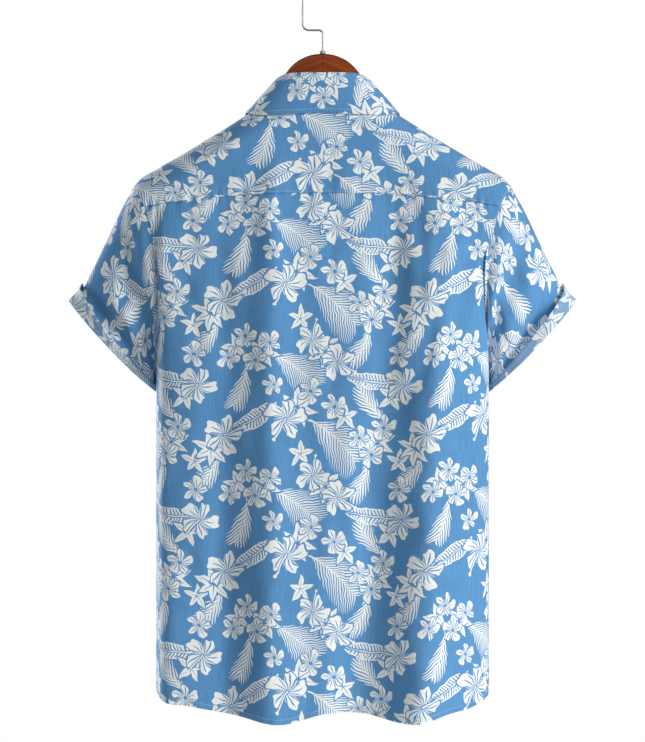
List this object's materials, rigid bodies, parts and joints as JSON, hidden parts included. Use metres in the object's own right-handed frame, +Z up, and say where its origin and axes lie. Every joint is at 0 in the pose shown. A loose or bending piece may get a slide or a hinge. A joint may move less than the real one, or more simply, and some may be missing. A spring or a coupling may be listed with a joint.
{
  "type": "hawaiian shirt on a wooden hanger",
  "caption": "Short-sleeved button-up hawaiian shirt with a pointed collar and turned-up cuffs, hung on a flat wooden clothes hanger with a wire hook.",
  "frame": {"origin": "inside top of the hanger's hook, where a rail holds it", "axes": "+Z up, the wearer's left is +X, the front of the shirt faces -Y and its back faces +Y"},
  "size_m": [0.6102, 0.1613, 0.8932],
  "materials": {
    "printed_cotton": "blue plain-weave cotton with a white discharge print of hibiscus and leaves",
    "cotton_reverse": "paler reverse of the printed cotton",
    "button": "polished pale resin",
    "wood": "satin varnished mahogany colour",
    "steel": "nickel-plated wire"
  },
  "bodies": {
    "root": {"back_panel": "printed_cotton", "yoke": "printed_cotton", "front_left": "printed_cotton", "front_right": "printed_cotton", "placket": "printed_cotton", "sleeve_left": "printed_cotton", "sleeve_right": "printed_cotton", "collar_stand": "printed_cotton", "collar_fall": "printed_cotton", "cuff_left": "cotton_reverse", "cuff_right": "cotton_reverse", "button_0": "button", "button_1": "button", "button_2": "button", "button_3": "button", "button_4": "button", "button_5": "button", "button_6": "button", "hanger_wood": "wood", "hanger_ferrule": "steel", "hanger_hook": "steel"}
  },
  "joints": []
}
